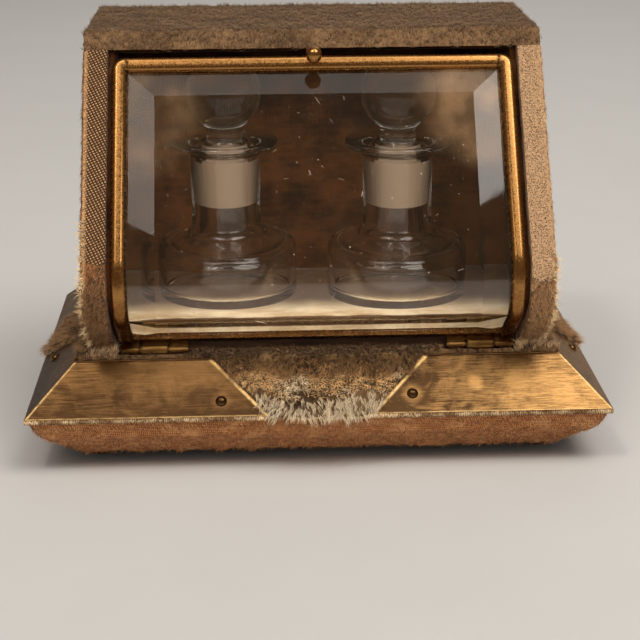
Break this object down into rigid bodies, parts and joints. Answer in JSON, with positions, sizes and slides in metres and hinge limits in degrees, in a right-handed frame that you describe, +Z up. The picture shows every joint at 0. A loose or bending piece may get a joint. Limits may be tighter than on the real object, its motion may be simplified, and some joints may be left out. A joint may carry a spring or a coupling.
{
  "type": "scent casket",
  "caption": "Plush-covered scent casket on a splayed base, with a bent glass door hinged at its foot and stoppered clear glass bottles inside.",
  "frame": {"origin": "under the middle of the box, on the surface that it stands on", "axes": "+Z up, -Y out of the front with the glass door, +X to the right seen from the front"},
  "size_m": [0.1818, 0.1198, 0.127],
  "materials": {
    "case_plush": "worn mohair pile, brown to beige",
    "plinth_plush": "long worn pile, combed down",
    "ground_cloth": "bare ground weave with little pile left",
    "selvedge": "woven edge with dark stitches",
    "plate_brass": "aged brass, streaked and spotted",
    "pin_brass": "dark domed pins",
    "frame_brass": "polished half-round brass with grime in the corners",
    "hinge_brass": "worn brass",
    "wire_brass": "drawn brass wire",
    "pane_glass": "bevelled glass, dusty and lightly scratched",
    "bottle_glass": "clear blown glass",
    "stopper_glass": "clear glass with a ground plug",
    "floor_silk": "padded cream silk",
    "lining_cloth": "brown silk lining",
    "board_wood": "plain pale board",
    "rail_wood": "dark stained wood"
  },
  "bodies": {
    "casket": {"side_plush_left": "case_plush", "side_plush_right": "case_plush", "back_plush": "case_plush", "top_plush": "case_plush", "plinth_plush_front": "plinth_plush", "plinth_plush_back": "plinth_plush", "plinth_plush_left": "plinth_plush", "plinth_plush_right": "plinth_plush", "rail_cloth": "ground_cloth", "base_cloth": "ground_cloth", "lip_selvedge": "selvedge", "corner_plate_front_left": "plate_brass", "corner_plate_front_right": "plate_brass", "corner_plate_back_left": "plate_brass", "corner_plate_back_right": "plate_brass", "plate_pins": "pin_brass", "hinge_fixed_leaf_left": "hinge_brass", "hinge_fixed_leaf_right": "hinge_brass", "hinge_nails": "hinge_brass", "hinge_pin_left": "wire_brass", "hinge_pin_right": "wire_brass", "catch_clip": "wire_brass", "floor_pad": "floor_silk", "side_lining_left": "lining_cloth", "side_lining_right": "lining_cloth", "back_lining": "lining_cloth", "roof_lining": "lining_cloth", "side_board_left": "board_wood", "side_board_right": "board_wood", "back_board": "board_wood", "floor_board": "board_wood", "top_board": "board_wood", "bottom_board": "board_wood", "rail_front": "rail_wood", "rail_back": "rail_wood", "rail_left": "rail_wood", "rail_right": "rail_wood", "foot_front_left": "rail_wood", "foot_front_right": "rail_wood", "foot_back_left": "rail_wood", "foot_back_right": "rail_wood"},
    "door": {"door_frame": "frame_brass", "door_pane": "pane_glass", "pane_strip": "frame_brass", "door_knob": "frame_brass", "catch_stud": "wire_brass", "hinge_door_leaf_left": "hinge_brass", "hinge_door_leaf_right": "hinge_brass"},
    "left_bottle": {"bottle_left": "bottle_glass"},
    "right_bottle": {"bottle_right": "bottle_glass"},
    "left_stopper": {"stopper_left": "stopper_glass"},
    "right_stopper": {"stopper_right": "stopper_glass"}
  },
  "joints": [
    {"name": "door_hinge", "type": "hinge", "parent": "casket", "child": "door", "pos_m": [0, -0.04035, 0.03345], "axis": [1, 0, 0], "range_deg": [0, 76]},
    {"name": "left_bottle_slide", "type": "slide", "parent": "casket", "child": "left_bottle", "axis": [0, 1, 0], "range_m": [-0.007, 0.0085]},
    {"name": "right_bottle_slide", "type": "slide", "parent": "casket", "child": "right_bottle", "axis": [0, 1, 0], "range_m": [-0.004, 0.0115]},
    {"name": "left_stopper_lift", "type": "slide", "parent": "left_bottle", "child": "left_stopper", "axis": [0, 0, 1], "range_m": [0, 0.0058]},
    {"name": "right_stopper_lift", "type": "slide", "parent": "right_bottle", "child": "right_stopper", "axis": [0, 0, 1], "range_m": [0, 0.0058]}
  ]
}
